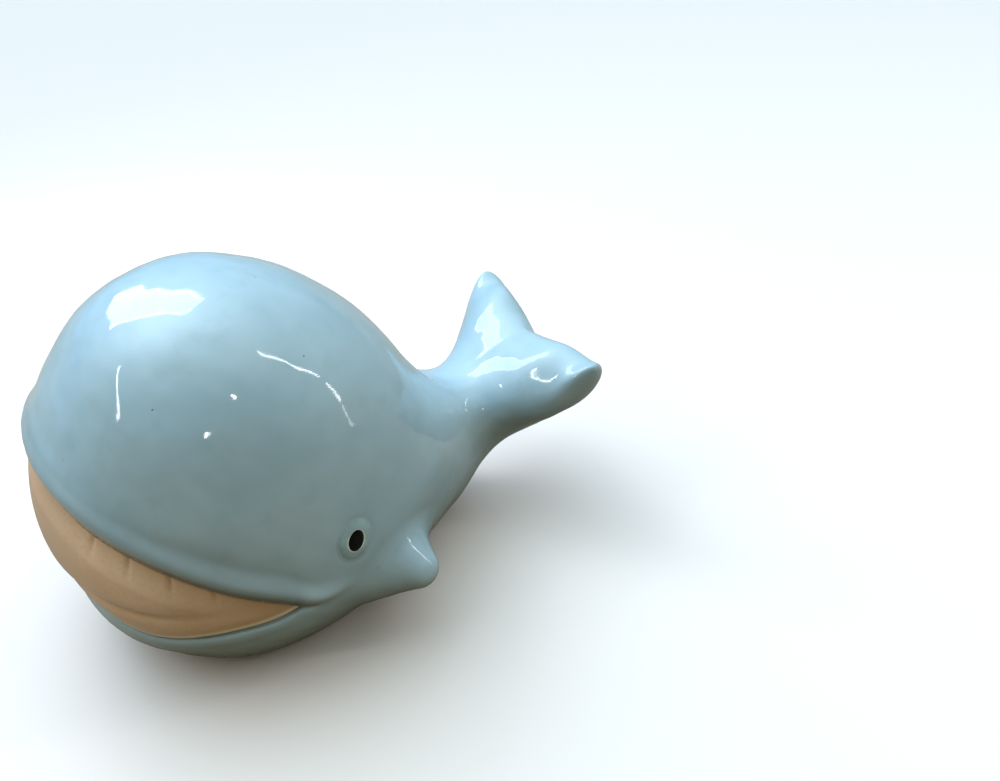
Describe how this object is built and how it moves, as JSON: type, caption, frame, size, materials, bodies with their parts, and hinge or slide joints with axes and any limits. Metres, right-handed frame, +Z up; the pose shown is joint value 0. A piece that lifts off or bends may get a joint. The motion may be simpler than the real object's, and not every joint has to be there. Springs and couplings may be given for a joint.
{
  "type": "whale figurine",
  "caption": "Small hollow glazed earthenware whale that stands on a flat foot: high domed head, cream pleated throat, raised tail flukes, short flippers.",
  "frame": {"origin": "centre of the whale's bounding box, on the plane that the foot stands on", "axes": "-Y is where the nose points, +X is the whale's left, +Z is up"},
  "size_m": [0.094, 0.1384, 0.0895],
  "materials": {
    "blue_glaze": "gloss",
    "cream_glaze": "satin",
    "ring_glaze": "gloss",
    "black_enamel": "gloss",
    "bare_clay": "matt"
  },
  "bodies": {
    "root": {"body_shell": "blue_glaze", "throat_panel": "cream_glaze", "tail_flukes": "blue_glaze", "left_fin": "blue_glaze", "right_fin": "blue_glaze", "left_eye_ring": "ring_glaze", "right_eye_ring": "ring_glaze", "left_pupil": "black_enamel", "right_pupil": "black_enamel", "foot_base": "bare_clay"}
  },
  "joints": []
}
